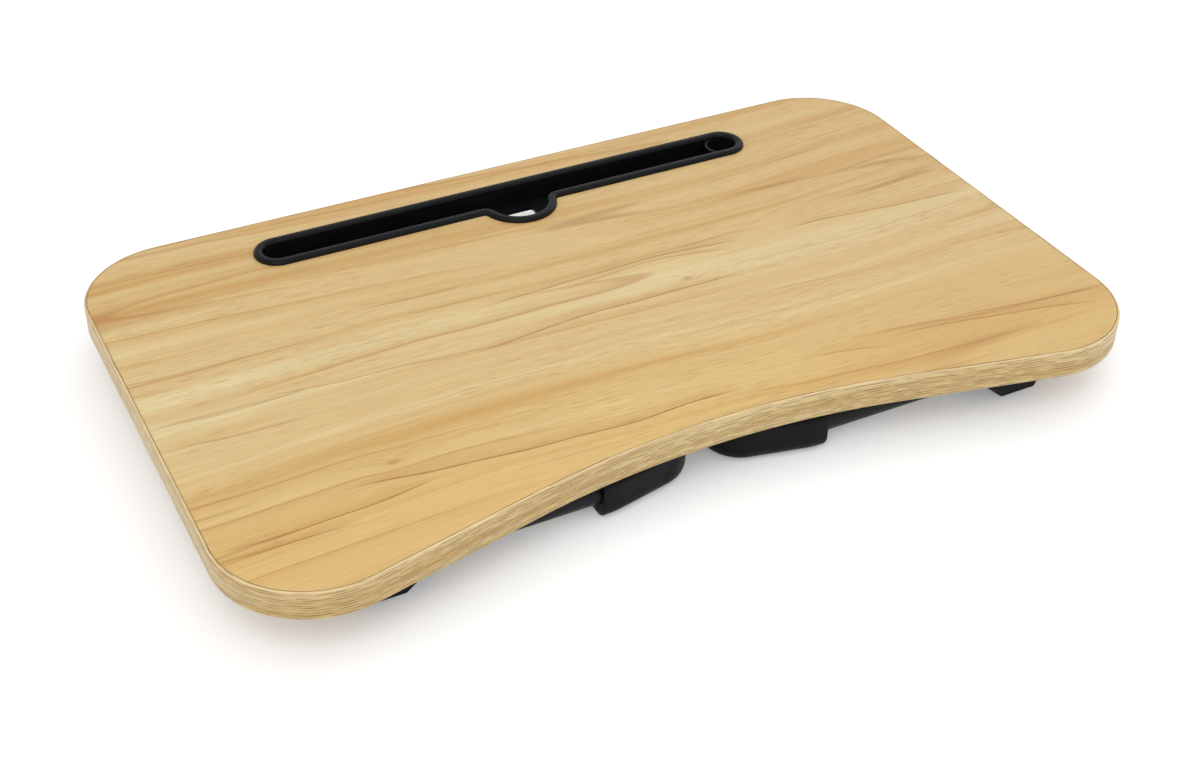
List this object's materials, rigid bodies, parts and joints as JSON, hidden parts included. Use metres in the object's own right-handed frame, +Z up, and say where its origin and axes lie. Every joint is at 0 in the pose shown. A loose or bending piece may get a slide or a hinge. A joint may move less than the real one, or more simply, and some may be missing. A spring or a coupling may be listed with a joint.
{
  "type": "bed tray table",
  "caption": "Low lap and bed table: wood-grain board with a curved front, a black tablet slot with a pen well and cable notch, and tube legs that fold flat beneath it.",
  "frame": {"origin": "on the surface the folded table stands on, under the middle of the board", "axes": "+X along the board towards the pen well, +Y from the user towards the tablet slot, +Z up"},
  "size_m": [0.6, 0.365, 0.049],
  "materials": {
    "fibreboard": "raw fibreboard",
    "wood_foil": "satin printed foil",
    "edge_band": "matt edge band",
    "satin_plastic": "satin black",
    "moulded_plastic": "fine matt black",
    "hinge_plastic": "matt black",
    "coated_steel": "black powder coat",
    "zinc_steel": "zinc plated",
    "spring_steel": "rolled spring steel",
    "soft_rubber": "matt black"
  },
  "bodies": {
    "tray": {"panel_core": "fibreboard", "top_foil": "wood_foil", "bottom_foil": "wood_foil", "edge_band": "edge_band", "slot_insert": "satin_plastic", "bracket_screws": "zinc_steel", "left_front_hinge_bracket": "moulded_plastic", "left_front_hinge_pin": "zinc_steel", "left_front_leaf_spring": "spring_steel", "left_back_hinge_bracket": "moulded_plastic", "left_back_hinge_pin": "zinc_steel", "left_back_leaf_spring": "spring_steel", "right_front_hinge_bracket": "moulded_plastic", "right_front_hinge_pin": "zinc_steel", "right_front_leaf_spring": "spring_steel", "right_back_hinge_bracket": "moulded_plastic", "right_back_hinge_pin": "zinc_steel", "right_back_leaf_spring": "spring_steel"},
    "left_leg": {"left_cross_bar": "coated_steel", "left_foot_screws": "zinc_steel", "left_knuckle_rivets": "zinc_steel", "left_front_arm_tube": "coated_steel", "left_front_foot": "moulded_plastic", "left_front_foot_pad": "soft_rubber", "left_front_knuckle": "hinge_plastic", "left_back_arm_tube": "coated_steel", "left_back_foot": "moulded_plastic", "left_back_foot_pad": "soft_rubber", "left_back_knuckle": "hinge_plastic"},
    "right_leg": {"right_cross_bar": "coated_steel", "right_foot_screws": "zinc_steel", "right_knuckle_rivets": "zinc_steel", "right_front_arm_tube": "coated_steel", "right_front_foot": "moulded_plastic", "right_front_foot_pad": "soft_rubber", "right_front_knuckle": "hinge_plastic", "right_back_arm_tube": "coated_steel", "right_back_foot": "moulded_plastic", "right_back_foot_pad": "soft_rubber", "right_back_knuckle": "hinge_plastic"}
  },
  "joints": [
    {"name": "left_leg_fold", "type": "hinge", "parent": "tray", "child": "left_leg", "pos_m": [-0.215, 0, 0.015], "axis": [0, 1, 0], "range_deg": [0, 95]},
    {"name": "right_leg_fold", "type": "hinge", "parent": "tray", "child": "right_leg", "pos_m": [0.215, 0, 0.015], "axis": [0, -1, 0], "range_deg": [0, 95]}
  ]
}
